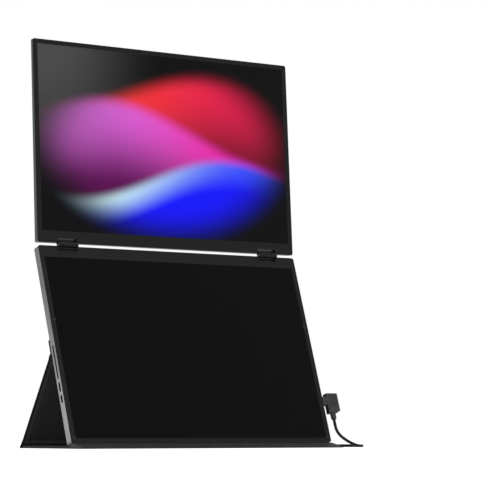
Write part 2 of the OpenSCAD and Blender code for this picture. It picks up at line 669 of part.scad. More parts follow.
lower_rear_shell();
lower_front_frame();
lower_cover_glass();
lower_display_cell();
lower_backlight();
main_board();
main_board_chips();
main_board_screws();
port_board();
port_ribbon();
left_usb_socket();
mini_hdmi_socket();
right_usb_socket();
left_speaker();
right_speaker();
speaker_meshes();
key_bezel();
key_board();
key_switches();
upper_key();
middle_key();
lower_key();
lower_hinge_leaves();
hinge_pins();
hinge_washers();
lower_hinge_screws();
closing_bumpers();
upper_rear_shell();
upper_front_frame();
upper_cover_glass();
upper_display_cell();
upper_backlight();
upper_driver_board();
upper_hinge_leaves();
upper_hinge_screws();
stand_strip();
strip_magnets();
top_crease();
leg_board();
leg_outer_skin();
leg_lining();
foot_crease();
base_board();
base_sole();
base_lining();
front_lip();
plug_tip();
plug_body();
plug_relief();
lead();
lead_coil();
coil_tie();
far_relief();
far_plug_body();
far_plug_tip();
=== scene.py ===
# %% [markdown]
# # A folding two-panel monitor on a leather stand
#
# The real thing is a pair of 16-inch screens joined by two barrel hinges. The thick lower panel holds the
# electronics and leans on a stand of leather-covered boards; the slim upper panel stands above it. A USB
# lead leaves the right side. All the hard parts come from a CAD model, loaded as a fixed frame. This script
# gives them their finishes, and builds the leather and the lead, which a solid model can't do justice.

# %% Load the frame
import json
import math

import bmesh
import bpy
import numpy as np
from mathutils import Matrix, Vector


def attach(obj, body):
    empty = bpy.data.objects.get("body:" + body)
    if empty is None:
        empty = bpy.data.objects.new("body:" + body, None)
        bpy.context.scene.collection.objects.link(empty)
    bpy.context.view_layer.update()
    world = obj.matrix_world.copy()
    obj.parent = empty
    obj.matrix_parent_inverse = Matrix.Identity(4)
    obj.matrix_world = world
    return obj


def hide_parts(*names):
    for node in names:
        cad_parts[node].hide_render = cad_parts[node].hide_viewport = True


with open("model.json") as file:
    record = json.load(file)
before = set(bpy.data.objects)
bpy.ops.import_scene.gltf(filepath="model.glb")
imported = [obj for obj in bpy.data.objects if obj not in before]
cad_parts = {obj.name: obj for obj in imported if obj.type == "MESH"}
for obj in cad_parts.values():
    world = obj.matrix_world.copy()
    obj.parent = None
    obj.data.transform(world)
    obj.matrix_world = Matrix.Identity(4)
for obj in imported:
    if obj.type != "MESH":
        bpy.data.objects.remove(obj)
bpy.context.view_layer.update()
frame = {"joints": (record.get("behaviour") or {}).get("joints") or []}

joints = {joint["name"]: joint for joint in frame["joints"]}
MM = 0.001

# %% [markdown]
# ## Where things are
#
# Each panel leans back, so a port or a picture on it is easiest to describe in the panel's own axes: x
# across, n back from its face and v up its height. One small function turns those into the room's axes. The
# leg of the stand has axes of the same kind: n points out of its back, and v runs up it and is zero at the
# crease. The hinge axis lies AXIS_GAP from the end of each panel and AXIS_LIFT in front of the faces, all
# in mm.

# %% Axes of the panels and the leg
LOWER_LEAN, UPPER_LEAN, LEG_LEAN = (math.radians(a) for a in (18.9, 3.6, 32.2))
HINGE_AXIS = np.array(joints["screen_hinge"]["pos_m"])
TOP_CREASE = np.array(joints["stand_fold"]["pos_m"])
FOOT_CREASE = np.array(joints["base_fold"]["pos_m"])


def turned(origin, lean, x, n, v):
    """Own axes to the room's: y = y0 + n cos(lean) + v sin(lean), z = z0 - n sin(lean) + v cos(lean)."""
    x, n, v = np.broadcast_arrays(x, n, v)
    y = origin[1] + n * math.cos(lean) + v * math.sin(lean)
    z = origin[2] - n * math.sin(lean) + v * math.cos(lean)
    return np.stack([x, y, z], axis=-1)


PANEL_H, AXIS_GAP, AXIS_LIFT = 234.6, 1.7, 0.5
LOWER_FOOT = turned(HINGE_AXIS, LOWER_LEAN, 0.0, AXIS_LIFT * MM, -(PANEL_H + AXIS_GAP) * MM)
UPPER_FOOT = turned(HINGE_AXIS, UPPER_LEAN, 0.0, AXIS_LIFT * MM, AXIS_GAP * MM)
print("panels start at z =", [round(foot[2] / MM, 2) for foot in (LOWER_FOOT, UPPER_FOOT)], "mm")

# %% [markdown]
# ## Camera
#
# A long lens from the front left, almost at table height, tilted up a little: the panels' upright edges
# stay nearly parallel and the left side walls with their ports show. The lens is worked out from its focal
# length in pixels on a picture FRAME_PX wide.

# %% Make the camera
FOCAL_PX, FRAME_PX, SENSOR_W = 2326.4, 490, 36
TILT, HEADING = 4.557, -35.207


def linked(name, data):
    """A new object with this data, in the scene."""
    made = bpy.data.objects.new(name, data)
    bpy.context.scene.collection.objects.link(made)
    return made


camera = linked("camera", bpy.data.cameras.new("camera"))
camera.data.sensor_width = SENSOR_W
camera.data.lens = SENSOR_W * FOCAL_PX / FRAME_PX
camera.data.clip_end = 50
camera.location = (-1.4931, -2.2375, 0.02)
camera.rotation_euler = (math.radians(90 + TILT), 0, math.radians(HEADING))
bpy.context.scene.camera = camera
print("lens", round(camera.data.lens, 1), "mm")

# %% [markdown]
# ## Putting arrays into meshes
#
# Every new piece is a surface on a grid of two parameters, worked out as whole arrays. The helpers number
# the grid's quads and hand points and faces to Blender. Two sheets that meet along their rims are merged
# there, so the piece is closed: points less than WELD metres apart become one. A piece is shaded smooth,
# but for edges that turn by more than SHARP.

# %% Grids
def grid_quads(rows, columns, wrap=False):
    """Corners (i, j), (i+1, j), (i+1, j+1), (i, j+1) of cells; wrap joins the last column to the first."""
    i = np.arange(rows - 1)[:, None]
    j = np.arange(columns if wrap else columns - 1)[None, :]
    k = (j + 1) % columns
    corners = i * columns + j, (i + 1) * columns + j, (i + 1) * columns + k, i * columns + k
    return np.stack(np.broadcast_arrays(*corners), -1).reshape(-1, 4)


# %% Meshes
WELD, SHARP = 1e-6, math.radians(50)


def make_piece(name, points, faces, rubbed=None, merge=True):
    """One mesh object at the origin from points in metres and faces.

    The amounts of wear and of painted shade, one for each point, go in an attribute that the finish reads.
    """
    mesh = bpy.data.meshes.new(name)
    mesh.from_pydata(np.asarray(points, float).reshape(-1, 3).tolist(), [], faces)
    if rubbed is not None:
        layer = mesh.attributes.new("rubbed", "FLOAT", "POINT")
        layer.data.foreach_set("value", np.ascontiguousarray(rubbed, np.float32))
    if merge:
        welded = bmesh.new()
        welded.from_mesh(mesh)
        bmesh.ops.remove_doubles(welded, verts=welded.verts, dist=WELD)
        bmesh.ops.recalc_face_normals(welded, faces=welded.faces)
        welded.to_mesh(mesh)
        welded.free()
    mesh.shade_smooth()
    mesh.set_sharp_from_angle(angle=SHARP)
    print(name, len(mesh.vertices), "points,", len(mesh.polygons), "faces")
    return linked(name, mesh)


# %% [markdown]
# ## The lead
#
# A USB lead of about a metre with its plugs. It leaves the angled plug straight down, bends round on the
# table and runs back beside the panel. The rest is wound as such leads are sold: three turns side by side,
# then two and a half more on top. Its line could be a Blender curve, but a tube of our own carries a map
# along its length, which the jacket's finish follows. A spline runs through the chosen points.

# %% The route of the lead
LEAD_D = 3.5
route_mm = np.array([
    [193.1, -31.5, 32.7], [193.1, -33.3, 27.1], [193.4, -35.4, 21.5], [194.8, -38.1, 16.5],
    [197.6, -41.7, 12], [201.6, -45.6, 8], [206.6, -48.8, 4.8], [212.4, -50.4, 2.6], [218.4, -49.6, 1.8],
    [224.2, -45.8, 1.8], [227.6, -39.8, 1.8], [228.2, -33, 1.8], [226.2, -25, 1.8], [221.6, -16, 1.8],
    [215.4, -7, 1.8], [208, 2, 1.8], [200.6, 12, 1.8], [193.6, 22, 1.8], [188.4, 33, 1.8], [185.7, 44, 1.9],
    [184.7, 54, 2.2], [184.5, 63, 2.5], [184.5, 70, 2.55],
])
print(len(route_mm), "points on the route")


def through(points, steps):
    """Catmull-Rom spline: p(t) = ((2b) + (c-a)t + (2a-5b+4c-d)t² + (3b-a-3c+d)t³) / 2 between b and c."""
    a = np.vstack([2 * points[0] - points[1], points[:-2]])
    b, c = points[:-1], points[1:]
    d = np.vstack([points[2:], 2 * points[-1] - points[-2]])
    t = (np.arange(steps) / steps)[None, :, None]
    a, b, c, d = (q[:, None] for q in (a, b, c, d))
    spline = (2 * b + (c - a) * t + (2 * a - 5 * b + 4 * c - d) * t**2 + (3 * b - a - 3 * c + d) * t**3) / 2
    return np.vstack([spline.reshape(-1, 3), points[-1]])


# %% The coil and its end
COIL_CENTRE, COIL_RADII, LAYER_Z = (209.0, 70.0), np.array([24.5, 21.0, 17.5]), (2.55, 6.05)
END_RISE, RISE_TURN = 1.8, 0.35


def ease(t):
    """Smooth step: 3t² - 2t³ between 0 and 1."""
    t = np.clip(t, 0, 1)
    return t * t * (3 - 2 * t)


def coil(turns=5.5, per_turn=40):
    """Turns clockwise from the -x side: r goes 24.5, 21, 17.5 below, then 17.5, 21, 24.5 above.

    Radius and height hold for most of a turn and ease to the next turn's in its last sixth. The end rises by
    END_RISE over the last RISE_TURN of a turn.
    """
    t = np.arange(1, int(turns * per_turn) + 1) / per_turn
    radii = np.concatenate([COIL_RADII, COIL_RADII[::-1], COIL_RADII[:1]])
    heights = np.array([LAYER_Z[0]] * 3 + [LAYER_Z[1]] * 4)
    k = np.minimum(t.astype(int), len(radii) - 2)
    share = ease((t - k) * 6 - 5)
    r = radii[k] + (radii[k + 1] - radii[k]) * share
    z = heights[k] + (heights[k + 1] - heights[k]) * share
    z = z + END_RISE * ease((t - (turns - RISE_TURN)) / RISE_TURN)
    angle = math.pi - 2 * math.pi * t
    return np.stack([COIL_CENTRE[0] + r * np.cos(angle), COIL_CENTRE[1] + r * np.sin(angle), z], axis=1)


# The end leaves the coil in a quarter turn and climbs into the plug, which lies on the coil.
END_BEND, END_Z, ASIDE = 12.0, 10.8, 0.25
turn = np.radians(np.arange(-12, -91, -6))
share = ease(-turn / (math.pi / 2))
coil_end_z = LAYER_Z[1] + END_RISE
run_in = np.stack([
    COIL_CENTRE[0] + COIL_RADII[0] - END_BEND + END_BEND * np.cos(turn),
    COIL_CENTRE[1] + END_BEND * np.sin(turn) - ASIDE * (1 + share),
    coil_end_z + (END_Z - coil_end_z) * share,
], axis=1)
into_relief = run_in[-1] + np.array([[-1.0, 0, 0], [-2.5, 0, 0]])
lead_line = np.vstack([through(route_mm, 4), coil(), run_in, into_relief]) * MM

# %% Sweep the lead
def swept(line, radius, sides):
    """Tube: point(i, k) = line(i) + radius (cos(2πk/sides) a(i) + sin(2πk/sides) b(i)).

    The directions a and b are square to the line and turn no more than it does.
    """
    along = np.gradient(line, axis=0)
    along /= np.linalg.norm(along, axis=1, keepdims=True)
    a = np.cross(along[0], [1.0, 0, 0])
    across = [a / np.linalg.norm(a)]
    for direction in along[1:]:
        a = across[-1] - direction * (across[-1] @ direction)
        across.append(a / np.linalg.norm(a))
    a = np.array(across)
    b = np.cross(along, a)
    turn = (2 * math.pi * np.arange(sides) / sides)[None, :, None]
    rings = line[:, None] + radius * (np.cos(turn) * a[:, None] + np.sin(turn) * b[:, None])
    faces = grid_quads(len(line), sides, wrap=True)[:, ::-1].tolist()
    faces += [list(range(sides)), list(range(len(line) * sides - 1, (len(line) - 1) * sides - 1, -1))]
    return rings.reshape(-1, 3), faces


def map_tube(piece, line, sides, metres_round):
    """The lead's own map: u is the distance round it and v the distance along it, in metres."""
    along = np.concatenate([[0], np.cumsum(np.linalg.norm(np.diff(line, axis=0), axis=1))])
    corner = np.empty(len(piece.data.loops), np.int32)
    piece.data.loops.foreach_get("vertex_index", corner)
    u, v = corner % sides, along[corner // sides]
    starts = np.arange(0, (len(line) - 1) * sides * 4).reshape(-1, 4)
    wraps = np.ptp(u[starts], axis=1) > sides / 2
    u = u.astype(float)
    u[starts[wraps]] = np.where(u[starts[wraps]] == 0, sides, u[starts[wraps]])
    layer = piece.data.uv_layers.new(name="along_the_lead")
    layer.data.foreach_set("uv", np.stack([u / sides * metres_round, v], axis=1).astype(np.float32).ravel())


SIDES = 16
lead = make_piece("usb_lead", *swept(lead_line, LEAD_D / 2 * MM, SIDES), merge=False)
map_tube(lead, lead_line, SIDES, math.pi * LEAD_D * MM)
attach(lead, "lower_display")
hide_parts("lead", "lead_coil")

# %% [markdown]
# ## The tie round the coil
#
# A strip of hook-and-loop tape wraps the bundle of turns. It is a flat band, described in the coil's own
# polar axes: the band's width follows the ring, and its length goes once round the bundle with a lapped
# end. The bundle is three leads wide and two high, and the tape stands TIE_GAP off it.

# %% Hook-and-loop tie
AROUND, LAP_START, LAP_END = 96, 8, 40
TIE_GAP, TIE_T, LAP_T = 0.06, 0.4, 0.28
TIE_CORNER, TIE_HALF_ANGLE = 1.7, math.radians(15.5)


def bundle_outline(thickness):
    """Rounded rectangle round the bundle as (r, z), grown outwards by a thickness for each of its points."""
    half_w, half_h = 3 * LEAD_D / 2 - TIE_CORNER, 2 * LEAD_D / 2 - TIE_CORNER
    lengths = np.array([2 * half_h, math.pi / 2 * TIE_CORNER, 2 * half_w, math.pi / 2 * TIE_CORNER] * 2)
    marks = np.concatenate([[0], np.cumsum(lengths)])
    at = np.linspace(0, marks[-1], AROUND, endpoint=False)
    k = np.searchsorted(marks, at, side="right") - 1
    f = (at - marks[k]) / lengths[k]
    quarter, straight = k // 2, (k % 2 == 0)[:, None]
    centres = np.array([[half_w, half_h], [-half_w, half_h], [-half_w, -half_h], [half_w, -half_h]])
    starts = np.roll(centres, 1, axis=0)
    angle = (quarter + np.where(straight[:, 0], 0, f)) * math.pi / 2
    walked = starts[quarter] + (centres[quarter] - starts[quarter]) * f[:, None]
    foot = np.where(straight, walked, centres[quarter])
    out = np.stack([np.cos(angle), np.sin(angle)], 1)
    return foot + (TIE_CORNER + thickness)[:, None] * out + [COIL_RADII[1], sum(LAYER_Z) / 2]


def at_ring(rz, width):
    """Polar to room: x = cx + r sin(w), y = cy + r cos(w), with w the angle from the coil's +y side."""
    r, z, w = rz[..., 0], rz[..., 1], (width * TIE_HALF_ANGLE)[:, None]
    return np.stack([COIL_CENTRE[0] + r * np.sin(w), COIL_CENTRE[1] + r * np.cos(w), z], -1) * MM


step = np.arange(AROUND)
lap = ease((step - LAP_START) / 2) * (1 - ease((step - LAP_END) / 2))
inner, outer = bundle_outline(np.full(AROUND, TIE_GAP)), bundle_outline(TIE_GAP + TIE_T + LAP_T * lap)
# Across the tape its thickness follows (1 - w^12)^(1/2), so its rims are rounded and closed.
across = np.sin(np.linspace(-1, 1, 17) * math.pi / 2)
rim = np.sqrt(np.clip(1 - across**12, 0, 1))[:, None, None]
middle, half = (inner + outer) / 2, (outer - inner) / 2
sheets = [at_ring(middle + side * half * rim, across).reshape(-1, 3) for side in (1, -1)]
quads = grid_quads(len(across), AROUND, wrap=True)
faces = np.concatenate([quads, quads[:, ::-1] + len(across) * AROUND])
tie = make_piece("coil_wrap", np.concatenate(sheets), faces.tolist())
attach(tie, "lower_display")
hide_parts("coil_tie")

# %% [markdown]
# ## Leather-covered boards
#
# The stand is two stiff boards wrapped in thin imitation leather. The outer skin is turned over each
# board's edges and glued down as a hem about 5 mm wide, and a lining covers the rest. A solid block would
# show none of this. Each board is a rounded rectangle carried inwards in rings: every ring has an inset and
# a height, so the wrapped edge, the hem and the small step to the lining are all one profile. Simpler
# strips, such as the glued strip and the wedge of the lip, are an outline carried across the stand.

# %% Outlines
def rounded(corners, radii, steps=6):
    """Closed outline with arcs for corners: each starts and ends r / tan(half the corner's angle) from it."""
    p, r = np.array(corners, float), np.broadcast_to(np.asarray(radii, float), len(corners))
    a, b = np.roll(p, 1, 0) - p, np.roll(p, -1, 0) - p
    a, b = a / np.linalg.norm(a, axis=1, keepdims=True), b / np.linalg.norm(b, axis=1, keepdims=True)
    half = np.arccos(np.clip((a * b).sum(1), -1, 1)) / 2
    middle = (a + b) / np.linalg.norm(a + b, axis=1, keepdims=True)
    centre = p + middle * (r / np.sin(half))[:, None]
    start = p + a * (r / np.tan(half))[:, None] - centre
    end = p + b * (r / np.tan(half))[:, None] - centre
    t, sweep = np.linspace(0, 1, steps)[None, :, None], (math.pi - 2 * half)[:, None, None]
    arcs = (np.sin((1 - t) * sweep) * start[:, None] + np.sin(t * sweep) * end[:, None]) / np.sin(sweep)
    return (centre[:, None] + arcs).reshape(-1, 2)


# %% Boards and bars
def corner_turns(steps):
    """The angle of each step round the four corners of a board, as (corner, step): a quarter turn each."""
    return (np.arange(4)[:, None] + np.linspace(0, 1, steps)) * math.pi / 2


def wrapped_board(half_x, low, high, stations, corner=2.2, sharpest=0.06, steps=7):
    """Rings of a board: station (d, n) gives the rounded rectangle |x| < half_x - d, low + d < v < high - d.

    Its height is n, and its corners' radius is corner - d, but not less than sharpest.
    """
    turn = corner_turns(steps)
    inset, height = (part[:, None, None] for part in np.array(stations, float).T)
    r = np.maximum(corner - inset, sharpest)
    side = np.array([1, -1, -1, 1])[:, None]
    end = np.array([1, 1, -1, -1])[:, None]
    x = side * (half_x - inset - r) + r * np.cos(turn)
    v = (low + high) / 2 + end * ((high - low) / 2 - inset - r) + r * np.sin(turn)
    n = np.broadcast_to(height, x.shape)
    return tuple(part.reshape(len(height), -1) for part in (x, n, v))


def bar(outline, half_x, edge):
    """An outline (n, v) carried across from -half_x to half_x.

    Over the last edge mm it draws in by edge (1 - cos a) while x gains edge sin a.
    """
    a = np.linspace(0, math.pi / 2, 5)
    x = half_x - edge * (1 - np.sin(a))
    inset = edge * (1 - np.cos(a))
    x, inset = np.concatenate([-x[::-1], x]), np.concatenate([inset[::-1], inset])
    along = np.roll(outline, -1, 0) - np.roll(outline, 1, 0)
    along /= np.linalg.norm(along, axis=1, keepdims=True)
    area = np.sum(outline[:, 0] * np.roll(outline[:, 1], -1) - outline[:, 1] * np.roll(outline[:, 0], -1))
    out = np.stack([along[:, 1], -along[:, 0]], 1) * np.sign(area)
    at = outline[None] - inset[:, None, None] * out[None]
    return np.broadcast_to(x[:, None], at.shape[:2]), at[..., 0], at[..., 1]


# %% Closed shells
def shell(rings, place, rubbed=0.0):
    """Closes rings (x, n, v) in mm with a cap at both ends and puts them in place.

    Gives points in metres, faces, and each point's amount of wear and of painted shade.
    """
    rows, columns = rings[0].shape
    faces = grid_quads(rows, columns, wrap=True).tolist()
    faces += [list(range(columns))[::-1], list(range((rows - 1) * columns, rows * columns))]
    points = place(*(part * MM for part in rings)).reshape(-1, 3)
    return points, faces, np.broadcast_to(rubbed, (rows, columns)).ravel()


def join(*shells):
    """Several closed shells as one list of points, one of faces and one of the amounts of wear and shade."""
    points, faces, rubbed = zip(*shells)
    first = np.cumsum([0] + [len(part) for part in points])
    faces = [[k + n for k in face] for n, part in zip(first, faces) for face in part]
    return np.concatenate(points), faces, np.concatenate(rubbed)


# %% Where an outline is worn, and where its edge is painted dark as shade
def on_corners(count, steps=6):
    """1 in the middle of each rounded corner of an outline and 0 where its arc ends: sin(πt)."""
    return np.tile(np.sin(math.pi * np.linspace(0, 1, steps)), count)


def on_sides(steps=7):
    """1 where a board's outline faces along x and 0 where it faces along v: |cos a| round each corner."""
    return np.abs(np.cos(corner_turns(steps))).ravel()


# %% The profile of a board
BOARD_T, HEM, LINING_STEP = 3.0, 5.4, 0.16
inner_face = [
    (HEM + 0.8, LINING_STEP), (HEM, LINING_STEP), (HEM - 0.5, 0.03), (HEM - 0.9, 0), (2.6, 0), (1.3, 0.02),
    (0.7, 0.14), (0.3, 0.4), (0.05, 0.8), (0, 1.2),
]
outer_face = [(0, 1.7), (0.05, 2.2), (0.3, 2.6), (0.7, 2.86), (1.3, 2.98), (2.6, BOARD_T), (6, BOARD_T)]
board = np.array(inner_face + outer_face)
# How worn each ring of a bar and each station of a board is. Below 0 its edge is painted near black:
# edge paint, and painted shade for the dark edge faces.
bar_wear_and_shade = np.array([-1, -1, -0.6, 1, 1, 1, 1, -0.6, -1, -1])[:, None]
board_wear_and_shade = np.array(
    [0, 0.3, 1, 0.9, 0.3, -0.5, -0.8, -1, -1, -1, -1, -1, -0.3, 0.4, 0.4, 0.1, 0]
)[:, None]
print("board profile:", len(board), "stations")

# %% Glued strip and its crease
def rectangle(low_n, high_n, low_v, high_v):
    """The four corners (n, v) of a strip, in order round it."""
    return [(low_n, low_v), (high_n, low_v), (high_n, high_v), (low_n, high_v)]


def on_lower_back(x, n, v):
    """The lower panel's own axes."""
    return turned(LOWER_FOOT, LOWER_LEAN, x, n, v)


STAND_HALF = 178.0
STRIP_N, STRIP_V = (11.02, 13.5), (109.5, 124.4)
WEB_N, WEB_V = (12.62, 13.36), (108.4, 111.5)
CREASE_N, CREASE_V, ROLL_R, ROLL_SIDES = 13.0, 108.0, 1.1, 28
strip_outline = rounded(rectangle(*STRIP_N, *STRIP_V), [0.25, 0.7, 1.1, 0.1])
web_outline = rounded(rectangle(*WEB_N, *WEB_V), 0.12)
turn = 2 * math.pi * np.arange(ROLL_SIDES) / ROLL_SIDES
roll_outline = np.stack([CREASE_N + ROLL_R * np.cos(turn), CREASE_V + ROLL_R * np.sin(turn)], axis=1)
strip_leather = make_piece(
    "strip_leather",
    *join(
        shell(bar(strip_outline, STAND_HALF, 0.8), on_lower_back, np.minimum(on_corners(4), bar_wear_and_shade)),
        shell(bar(web_outline, STAND_HALF - 0.3, 0.3), on_lower_back),
        shell(bar(roll_outline, STAND_HALF, 0.6), on_lower_back),
    ),
)
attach(strip_leather, "lower_display")
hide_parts("stand_strip", "top_crease")

# %% [markdown]
# ## The leg and its folds
#
# The leg's outer skin runs on past the board at both ends. At the top it meets the roll of the crease, and
# at the foot it folds sharply and lies flat on the table, where the base's own sole goes on. Both bare ends
# turn with the leg, so they are rings of the same piece and not bent between two bodies.

# %% Leg
def on_leg(x, n, v):
    """The leg's own axes; its board lies at negative v."""
    return turned(TOP_CREASE, -LEG_LEAN, x, n, v)


def on_table(x, n, v):
    """The room's axes: n is y and v is z."""
    return turned(np.zeros(3), 0.0, x, n, v)


tongue = rounded(
    [(0.95, -6), (0.95, -1.0), (1.13, -0.2), (1.15, 0.3), (1.36, 0.38), (1.48, -0.3), (1.45, -6)],
    [0.1, 0.3, 0.3, 0.08, 0.1, 0.5, 0.1], 5,
)
# How far down from the crease the board starts and ends.
LEG_START, LEG_END = 1.5, 118.23
fold_n = np.array([1.4, 1.48, 0.86, 0.95])
fold_v = np.array([3.7, -0.05, 0.2, 3.7]) - LEG_END
down = on_leg(0.0, fold_n * MM, fold_v * MM)[:, 1:] / MM
foot_y = FOOT_CREASE[1] / MM
flat = np.array([(-0.02, 0.14), (-0.12, 0.02), (-5.69, 0.02), (-5.69, 0.6), (-1.53, 0.62)]) + [foot_y, 0]
foot_fold = rounded(np.vstack([down[:2], flat, down[2:]]), [0.1, 0.2, 0.1, 0.05, 0.1, 0.1, 0.3, 0.2, 0.1], 5)
fold_rubbed = on_corners(9, 5) * np.repeat([0, 0, 1, 1, 0, 0, 0, 0, 0], 5)
leg_rings = wrapped_board(STAND_HALF, -LEG_END, -LEG_START, board - [0, BOARD_T / 2])
# The near-black painted edge lies on the leg's sides only; its foot end is left without it.
leg_wear_and_shade = np.where(board_wear_and_shade < 0, board_wear_and_shade * on_sides(), board_wear_and_shade)
leg_leather = make_piece(
    "leg_leather",
    *join(
        shell(leg_rings, on_leg, leg_wear_and_shade),
        shell(bar(tongue, STAND_HALF, 0.15), on_leg),
        shell(bar(foot_fold, STAND_HALF, 0.25), on_table, fold_rubbed),
    ),
)
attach(leg_leather, "stand_leg")
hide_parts("leg_outer_skin", "leg_lining", "leg_board", "foot_crease")

# %% [markdown]
# ## The base and its lip
#
# The base is a board like the leg, with its lining up. Its sole runs forward under a wedge that the lower
# panel's edge stands against, and that tapers to a thin front edge. All of it lies flat, so its outlines
# are in the room's own axes, measured from the panel's edge and the crease at the foot.

# %% Base and lip
LIP_BACK, LIP_FRONT, SOLE_T, SOLE_BACK, FOOT_GAP = 5.6, 23.48, 0.6, -30, 6.2
edge_y, edge_z = LOWER_FOOT[1] / MM, LOWER_FOOT[2] / MM - 0.52
seam_y, front_y = edge_y + LIP_BACK, edge_y - LIP_FRONT
x, height, y = wrapped_board(STAND_HALF, seam_y, foot_y - FOOT_GAP, board)
sole = rounded(rectangle(front_y, SOLE_BACK, 0.0, SOLE_T), [0.28, 0.1, 0.1, 0.28], 5)
wedge = rounded(
    [(front_y, 0.62), (seam_y - 0.04, 0.62), (seam_y - 0.04, 2.98), (edge_y + 0.6, edge_z),
     (edge_y - 1.5, edge_z), (front_y + 0.56, 1.28), (front_y, 1.02)],
    [0.05, 0.05, 0.4, 1.0, 1.2, 0.3, 0.12], 6,
)
# The base's edges get only a little of the near-black edge, so they stay lighter: painted light from the
# table below them.
base_leather = make_piece(
    "base_leather",
    *join(
        shell((x, y, BOARD_T - height), on_table, np.maximum(board_wear_and_shade, -0.3)),
        shell(bar(sole, STAND_HALF, 0.25), on_table, on_corners(4, 5)),
    ),
)
lip_leather = make_piece("lip_leather", *shell(bar(wedge, STAND_HALF, 0.2), on_table, on_corners(7)))
for piece in (base_leather, lip_leather):
    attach(piece, "stand_base")
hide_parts("base_sole", "base_board", "base_lining")
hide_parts("front_lip")

# %% [markdown]
# ## Helpers for the finishes
#
# Every finish is a small tree of shader nodes round one Principled shader. Colours are written as on a
# screen and turned to linear light. Patterns read Object coordinates in metres, so a scale of 1000 / size
# gives features of that size in millimetres, and nothing slides when a piece moves. Sockets that share a
# name go by number: a Mix of colours has its factor at 0, its colours at 6 and 7 and its result at 2, and a
# Map Range takes the range from 1 to 2 to that from 3 to 4, which is 0 to 1 unless given.

# %% Colours and nodes
def colour(hex_code):
    """sRGB hex to linear: c / 12.92 up to 0.04045, else ((c + 0.055) / 1.055) ^ 2.4."""
    c = np.array([int(hex_code[i : i + 2], 16) for i in (1, 3, 5)]) / 255
    return (*np.where(c <= 0.04045, c / 12.92, ((c + 0.055) / 1.055) ** 2.4), 1.0)


def add(tree, kind, sockets=None, **settings):
    """One shader node; each socket gets a plain value or a link from a node's output."""
    node = tree.nodes.new("ShaderNode" + kind)
    for setting, value in settings.items():
        setattr(node, setting, value)
    for socket, value in (sockets or {}).items():
        if isinstance(value, bpy.types.NodeSocket):
            tree.links.new(value, node.inputs[socket])
        else:
            node.inputs[socket].default_value = value
    return node


# %% Start and end of a finish
def new_finish(name):
    """An empty material, its node tree, and the place on the object that patterns read."""
    material = bpy.data.materials.new(name)
    material.use_nodes = True
    material.node_tree.nodes.clear()
    return material, material.node_tree, add(material.node_tree, "TexCoord").outputs["Object"]


def close_finish(material, tree, sockets):
    """Ends a finish with its shader and output."""
    shader = add(tree, "BsdfPrincipled", sockets)
    add(tree, "OutputMaterial", {"Surface": shader.outputs[0]})
    material.diffuse_color = shader.inputs["Base Color"].default_value
    return material


# %% Masks on a panel
def panel_axes(tree, place, foot, lean):
    """Room to panel: x, n = y cos(lean) - z sin(lean), v = y sin(lean) + z cos(lean), as X, Y and Z.

    The foot's own n and v are taken off.
    """
    c, s = math.cos(lean), math.sin(lean)
    shift = (0.0, -(foot[1] * c - foot[2] * s), -(foot[1] * s + foot[2] * c))
    own = add(tree, "Mapping", {"Vector": place, "Rotation": (lean, 0.0, 0.0), "Location": shift})
    return add(tree, "SeparateXYZ", {0: own.outputs[0]}).outputs


SOFT_EDGE = 0.1


def within(tree, axes, **spans):
    """1 in a box and 0 outside it, for spans X, Y and Z of (middle, half width) in mm on a panel's axes.

    A span gives 1 where |value - middle| < half, with a ramp of SOFT_EDGE to each side. The box is the
    product of its spans.
    """
    masks = []
    for axis, (middle, half) in spans.items():
        off = add(tree, "Math", {0: axes[axis], 1: middle * MM}, operation="SUBTRACT").outputs[0]
        away = add(tree, "Math", {0: off}, operation="ABSOLUTE").outputs[0]
        full, none = (half - SOFT_EDGE) * MM, (half + SOFT_EDGE) * MM
        masks.append(add(tree, "MapRange", {0: away, 1: full, 2: none, 3: 1.0, 4: 0.0}).outputs[0])
    box = masks[0]
    for mask in masks[1:]:
        box = add(tree, "Math", {0: box, 1: mask}, operation="MULTIPLY").outputs[0]
    return box


# %% A grained finish
LOW, HIGH = 0.7, 1.3


def grained(name, shades, drift, grain, depth, rough, where=None, painted_light="#060606", specular=0.5, **plain):
    """A finish whose colour drifts between two shades over patches of drift mm.

    A relief depth mm deep, of grains grain mm wide, also spreads its roughness. The sum of the two noises
    lies mostly between LOW and HIGH. Where a mask says 1, the finish takes one flat colour instead: painted
    shade by default, a painted highlight where a brighter colour is given.
    """
    material, tree, place = new_finish(name)
    patches = add(tree, "TexNoise", {"Vector": place, "Scale": 1000 / drift, "Detail": 3.0}).outputs[0]
    grains = add(tree, "TexNoise", {"Vector": place, "Scale": 1000 / grain, "Roughness": 0.6}).outputs[0]
    spread = add(tree, "Math", {0: patches, 1: grains}, operation="ADD").outputs[0]
    factor = add(tree, "MapRange", {0: spread, 1: LOW, 2: HIGH}).outputs[0]
    first, second = (colour(shade) for shade in shades)
    shade = add(tree, "Mix", {0: factor, 6: first, 7: second}, data_type="RGBA").outputs[2]
    if where:
        mask = where(tree, place)
        shade = add(tree, "Mix", {0: mask, 6: shade, 7: colour(painted_light)}, data_type="RGBA").outputs[2]
    gloss = add(tree, "MapRange", {0: spread, 1: LOW, 2: HIGH, 3: rough[0], 4: rough[1]}).outputs[0]
    relief = add(tree, "Bump", {"Height": grains, "Distance": depth * MM}).outputs[0]
    sockets = {"Base Color": shade, "Roughness": gloss, "Normal": relief, "Specular IOR Level": specular}
    return close_finish(material, tree, sockets | plain)


def paint(finish, *names):
    """Puts one finish on CAD nodes or new pieces."""
    for name in names:
        mesh = bpy.data.objects[name].data
        mesh.materials.clear()
        mesh.materials.append(finish)
    print(finish.name, "on", ", ".join(names))


